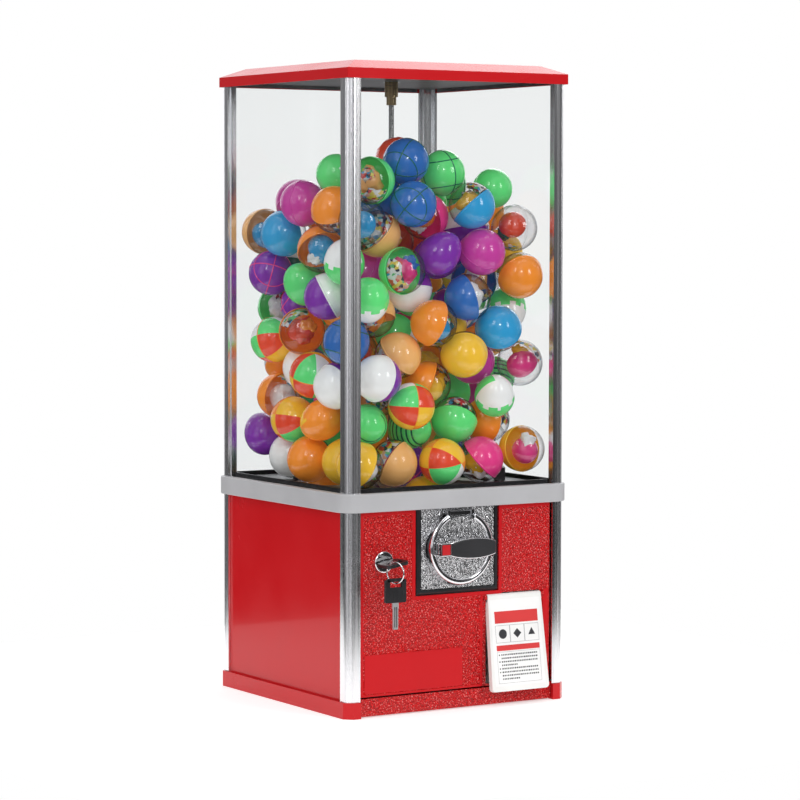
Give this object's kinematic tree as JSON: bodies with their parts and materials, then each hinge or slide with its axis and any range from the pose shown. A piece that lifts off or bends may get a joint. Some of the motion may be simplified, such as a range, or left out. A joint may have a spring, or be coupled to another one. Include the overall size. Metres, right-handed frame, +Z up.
{
  "type": "gumball machine",
  "caption": "Counter-top capsule vending machine: square windowed hopper on a red cabinet, turning coin knob, keyed front door, outlet flap and lift-off lid.",
  "frame": {"origin": "centre of the base underside, in the plane of the surface it stands on", "axes": "+Z up, the front with the coin knob faces -Y, +X towards the hinge side of the door"},
  "size_m": [0.2674, 0.2988, 0.6405],
  "materials": {
    "red_paint": "gloss",
    "red_plastic": "grained",
    "post_aluminium": "polished extrusion",
    "window_clear": "clear",
    "collar_grey": "satin",
    "steel_sheet": "galvanised",
    "steel_rod": "plain",
    "brass": "turned",
    "chrome": "polished",
    "key_steel": "nickel",
    "black_plastic": "satin",
    "wheel_plastic": "satin",
    "zinc_cast": "cast zinc",
    "red_inlay": "gloss",
    "white_plastic": "satin",
    "label": "printed",
    "capsule_warm": "gloss",
    "capsule_cool": "gloss"
  },
  "bodies": {
    "cabinet": {"base_tray": "red_paint", "side_panel_left": "red_paint", "side_panel_right": "red_paint", "back_panel": "red_paint", "window_left": "window_clear", "window_right": "window_clear", "window_front": "window_clear", "window_back": "window_clear", "collar": "collar_grey", "front_sill": "red_plastic", "post_screws": "steel_rod", "mech_plate": "steel_sheet", "hopper_brackets": "steel_sheet", "centre_rod": "steel_rod", "rod_anchor": "steel_sheet", "hopper_floor": "black_plastic", "wheel_bush": "black_plastic", "rod_nut": "steel_rod", "capsule_guard": "black_plastic", "panel_screws": "steel_rod", "chute": "white_plastic", "coin_box": "steel_sheet", "mech_bezel": "black_plastic", "mech_faceplate": "chrome", "mech_housing": "zinc_cast", "pawl_spring": "steel_rod", "door_hinge_pins": "steel_rod", "corner_posts": "post_aluminium", "capsules_warm": "capsule_warm", "capsules_cool": "capsule_cool"},
    "lid": {"lid_shell": "red_paint", "lid_liner": "steel_sheet", "lid_lock_bezel": "chrome"},
    "lid_lock": {"lid_lock_body": "brass", "lid_lock_plug": "chrome"},
    "wheel": {"dispensing_wheel": "wheel_plastic", "pocket_capsules": "capsule_warm"},
    "knob": {"knob_disc": "chrome", "coin_carrier": "zinc_cast", "knob_handle": "chrome", "handle_grip": "black_plastic", "handle_marker": "red_inlay", "drive_shaft": "steel_rod", "ratchet_wheel": "zinc_cast", "drive_pinion": "zinc_cast"},
    "ratchet_pawl": {"pawl": "zinc_cast"},
    "door": {"front_door": "red_plastic", "nameplate": "red_plastic", "lock_barrel": "chrome", "lock_nut": "chrome", "flap_pin": "steel_rod"},
    "lock": {"lock_plug": "chrome", "key_blade": "key_steel", "key_bow": "black_plastic", "lock_cam": "steel_sheet", "cam_screw": "steel_rod"},
    "ring": {"key_ring": "chrome"},
    "spare": {"spare_key": "key_steel"},
    "flap": {"outlet_flap": "white_plastic", "flap_label": "label"}
  },
  "joints": [
    {"name": "lid_lift", "type": "slide", "parent": "cabinet", "child": "lid", "axis": [0, 0, 1], "range_m": [0, 0.1]},
    {"name": "lid_lock_turn", "type": "hinge", "parent": "lid", "child": "lid_lock", "pos_m": [0, 0, 0.63], "axis": [0, 0, 1], "continuous": true},
    {"name": "wheel_turn", "type": "hinge", "parent": "cabinet", "child": "wheel", "pos_m": [0, 0, 0.1985], "axis": [0, 0, 1], "continuous": true},
    {"name": "knob_turn", "type": "hinge", "parent": "cabinet", "child": "knob", "pos_m": [0, -0.126, 0.162], "axis": [0, 1, 0], "continuous": true},
    {"name": "pawl_rock", "type": "hinge", "parent": "cabinet", "child": "ratchet_pawl", "pos_m": [0, -0.112, 0.193], "axis": [0, 1, 0], "range_deg": [0, 10], "stiffness_Nm_per_rad": 0.01},
    {"name": "door_swing", "type": "hinge", "parent": "cabinet", "child": "door", "pos_m": [0.1096, -0.1225, 0.11], "axis": [0, 0, 1], "range_deg": [0, 90]},
    {"name": "lock_turn", "type": "hinge", "parent": "door", "child": "lock", "pos_m": [-0.087, -0.118, 0.152], "axis": [0, 1, 0], "range_deg": [0, 90]},
    {"name": "ring_swing", "type": "hinge", "parent": "lock", "child": "ring", "pos_m": [-0.0903, -0.1551, 0.152], "axis": [0.9397, 0.342, 0], "range_deg": [-10, 5]},
    {"name": "spare_key_swing", "type": "hinge", "parent": "ring", "child": "spare", "pos_m": [-0.0903, -0.1547, 0.1341], "axis": [0, 1, 0], "range_deg": [-20, 20]},
    {"name": "flap_swing", "type": "hinge", "parent": "door", "child": "flap", "pos_m": [0.0666, -0.126, 0.109], "axis": [-1, 0, 0], "range_deg": [0, 70]}
  ],
  "couplings": [
    {"joint": "knob_turn", "follows": "wheel_turn", "ratio": 6}
  ]
}
